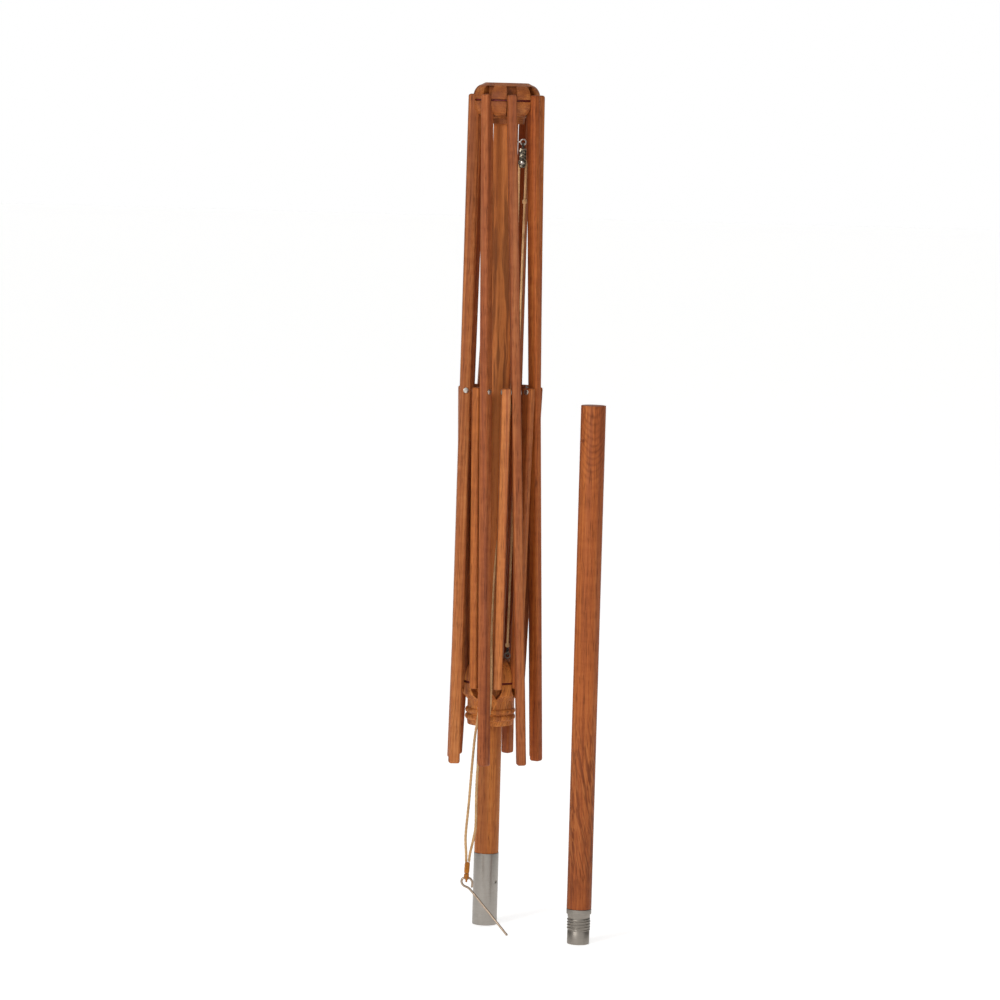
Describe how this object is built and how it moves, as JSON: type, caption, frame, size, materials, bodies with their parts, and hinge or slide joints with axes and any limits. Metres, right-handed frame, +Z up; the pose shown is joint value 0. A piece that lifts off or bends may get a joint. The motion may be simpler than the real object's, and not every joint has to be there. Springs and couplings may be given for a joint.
{
  "type": "beach umbrella frame",
  "caption": "Closed wooden parasol frame: ribs and stretchers on a hub and a sliding runner, with cord tackle, locking pin and the loose lower half of its pole.",
  "frame": {"origin": "on the upper pole's axis, at the mouth of the ferrule on its foot, level with the floor under the loose lower pole", "axes": "+Z up along the pole towards the hub, +X to the right towards the lower pole, -Y to the front"},
  "size_m": [0.229, 0.245, 1.312],
  "materials": {
    "hardwood": "oiled",
    "aluminium": "satin",
    "steel": "satin",
    "red_wire": "satin",
    "cord": "matte",
    "whipping": "matte"
  },
  "bodies": {
    "root": {"upper_pole": "hardwood", "hub": "hardwood", "hub_wire": "red_wire", "ferrule": "aluminium", "ferrule_rivet": "steel", "pulley_eye": "steel", "lift_cord": "cord", "haul_cord_upper": "cord"},
    "rib_1": {"rib_1": "hardwood", "rivet_1": "steel", "washer_1": "steel"},
    "stretcher_1": {"stretcher_1": "hardwood"},
    "rib_2": {"rib_2": "hardwood", "rivet_2": "steel", "washer_2": "steel"},
    "stretcher_2": {"stretcher_2": "hardwood"},
    "rib_3": {"rib_3": "hardwood", "rivet_3": "steel", "washer_3": "steel"},
    "stretcher_3": {"stretcher_3": "hardwood"},
    "rib_4": {"rib_4": "hardwood", "rivet_4": "steel", "washer_4": "steel"},
    "stretcher_4": {"stretcher_4": "hardwood"},
    "rib_5": {"rib_5": "hardwood", "rivet_5": "steel", "washer_5": "steel"},
    "stretcher_5": {"stretcher_5": "hardwood"},
    "rib_6": {"rib_6": "hardwood", "rivet_6": "steel", "washer_6": "steel"},
    "stretcher_6": {"stretcher_6": "hardwood"},
    "rib_7": {"rib_7": "hardwood", "rivet_7": "steel", "washer_7": "steel"},
    "stretcher_7": {"stretcher_7": "hardwood"},
    "rib_8": {"rib_8": "hardwood", "rivet_8": "steel", "washer_8": "steel"},
    "stretcher_8": {"stretcher_8": "hardwood"},
    "runner": {"runner": "hardwood", "runner_wire": "red_wire", "runner_eye": "steel", "runner_link": "steel", "collar_eye": "steel", "haul_cord_lower": "cord", "lanyard": "cord", "cord_whipping": "whipping", "cord_loop": "cord", "locking_pin": "steel"},
    "block": {"pulley_block": "steel", "sheave_pin": "steel", "cord_over_sheave": "cord"},
    "sheave": {"sheave": "steel"},
    "lower_pole": {"lower_pole": "hardwood", "threaded_spigot": "aluminium"}
  },
  "joints": [
    {"name": "rib_1_fold", "type": "hinge", "parent": "root", "child": "rib_1", "pos_m": [0.00756, -0.0477, 1.285], "axis": [-0.9877, -0.1564, 0], "range_deg": [0, 71.5], "deforming": ["lift_cord", "haul_cord_upper"]},
    {"name": "stretcher_1_fold", "type": "hinge", "parent": "rib_1", "child": "stretcher_1", "pos_m": [0.02635, -0.05171, 0.8384], "axis": [-0.9877, -0.1564, 0], "range_deg": [-141.94, 0]},
    {"name": "rib_2_fold", "type": "hinge", "parent": "root", "child": "rib_2", "pos_m": [0.03908, -0.02839, 1.285], "axis": [-0.5878, -0.809, 0], "range_deg": [0, 71.5]},
    {"name": "stretcher_2_fold", "type": "hinge", "parent": "rib_2", "child": "stretcher_2", "pos_m": [0.0552, -0.01793, 0.8384], "axis": [-0.5878, -0.809, 0], "range_deg": [-141.94, 0]},
    {"name": "rib_3_fold", "type": "hinge", "parent": "root", "child": "rib_3", "pos_m": [0.0477, 0.00756, 1.285], "axis": [0.1564, -0.9877, 0], "range_deg": [0, 71.5]},
    {"name": "stretcher_3_fold", "type": "hinge", "parent": "rib_3", "child": "stretcher_3", "pos_m": [0.05306, 0.01787, 0.8384], "axis": [0.1564, -0.9877, 0], "range_deg": [-141.94, 0]},
    {"name": "rib_4_fold", "type": "hinge", "parent": "root", "child": "rib_4", "pos_m": [0.02839, 0.03908, 1.285], "axis": [0.809, -0.5878, 0], "range_deg": [0, 71.5]},
    {"name": "stretcher_4_fold", "type": "hinge", "parent": "rib_4", "child": "stretcher_4", "pos_m": [0.02488, 0.05016, 0.8384], "axis": [0.809, -0.5878, 0], "range_deg": [-141.94, 0]},
    {"name": "rib_5_fold", "type": "hinge", "parent": "root", "child": "rib_5", "pos_m": [-0.00756, 0.0477, 1.285], "axis": [0.9877, 0.1564, 0], "range_deg": [0, 71.5]},
    {"name": "stretcher_5_fold", "type": "hinge", "parent": "rib_5", "child": "stretcher_5", "pos_m": [-0.02635, 0.05171, 0.8384], "axis": [0.9877, 0.1564, 0], "range_deg": [-141.94, 0]},
    {"name": "rib_6_fold", "type": "hinge", "parent": "root", "child": "rib_6", "pos_m": [-0.03908, 0.02839, 1.285], "axis": [0.5878, 0.809, 0], "range_deg": [0, 71.5]},
    {"name": "stretcher_6_fold", "type": "hinge", "parent": "rib_6", "child": "stretcher_6", "pos_m": [-0.05016, 0.02488, 0.8384], "axis": [0.5878, 0.809, 0], "range_deg": [-141.94, 0]},
    {"name": "rib_7_fold", "type": "hinge", "parent": "root", "child": "rib_7", "pos_m": [-0.0477, -0.00756, 1.285], "axis": [-0.1564, 0.9877, 0], "range_deg": [0, 71.5]},
    {"name": "stretcher_7_fold", "type": "hinge", "parent": "rib_7", "child": "stretcher_7", "pos_m": [-0.05171, -0.02635, 0.8384], "axis": [-0.1564, 0.9877, 0], "range_deg": [-141.94, 0]},
    {"name": "rib_8_fold", "type": "hinge", "parent": "root", "child": "rib_8", "pos_m": [-0.02839, -0.03908, 1.285], "axis": [-0.809, 0.5878, 0], "range_deg": [0, 71.5]},
    {"name": "stretcher_8_fold", "type": "hinge", "parent": "rib_8", "child": "stretcher_8", "pos_m": [-0.02014, -0.05359, 0.8384], "axis": [-0.809, 0.5878, 0], "range_deg": [-141.94, 0]},
    {"name": "runner_fold", "type": "hinge", "parent": "stretcher_1", "child": "runner", "pos_m": [0.00646, -0.04079, 0.384], "axis": [-0.9877, -0.1564, 0], "range_deg": [0, 70.44]},
    {"name": "block_swing", "type": "hinge", "parent": "root", "child": "block", "pos_m": [0.02717, -0.00677, 1.219], "axis": [0.9703, -0.2419, 0], "range_deg": [-4, 4]},
    {"name": "sheave_spin", "type": "hinge", "parent": "block", "child": "sheave", "pos_m": [0.02717, -0.00677, 1.19], "axis": [0.2419, 0.9703, 0], "continuous": true},
    {"name": "lower_pole_lift", "type": "slide", "parent": "root", "child": "lower_pole", "axis": [0, 0, 1], "range_m": [0, 0.3]}
  ],
  "couplings": [
    {"joint": "stretcher_1_fold", "follows": "rib_1_fold", "ratio": -1.9845},
    {"joint": "rib_2_fold", "follows": "rib_1_fold", "ratio": 1},
    {"joint": "stretcher_2_fold", "follows": "rib_1_fold", "ratio": -1.9845},
    {"joint": "rib_3_fold", "follows": "rib_1_fold", "ratio": 1},
    {"joint": "stretcher_3_fold", "follows": "rib_1_fold", "ratio": -1.9845},
    {"joint": "rib_4_fold", "follows": "rib_1_fold", "ratio": 1},
    {"joint": "stretcher_4_fold", "follows": "rib_1_fold", "ratio": -1.9845},
    {"joint": "rib_5_fold", "follows": "rib_1_fold", "ratio": 1},
    {"joint": "stretcher_5_fold", "follows": "rib_1_fold", "ratio": -1.9845},
    {"joint": "rib_6_fold", "follows": "rib_1_fold", "ratio": 1},
    {"joint": "stretcher_6_fold", "follows": "rib_1_fold", "ratio": -1.9845},
    {"joint": "rib_7_fold", "follows": "rib_1_fold", "ratio": 1},
    {"joint": "stretcher_7_fold", "follows": "rib_1_fold", "ratio": -1.9845},
    {"joint": "rib_8_fold", "follows": "rib_1_fold", "ratio": 1},
    {"joint": "stretcher_8_fold", "follows": "rib_1_fold", "ratio": -1.9845},
    {"joint": "runner_fold", "follows": "rib_1_fold", "ratio": 0.9845}
  ]
}
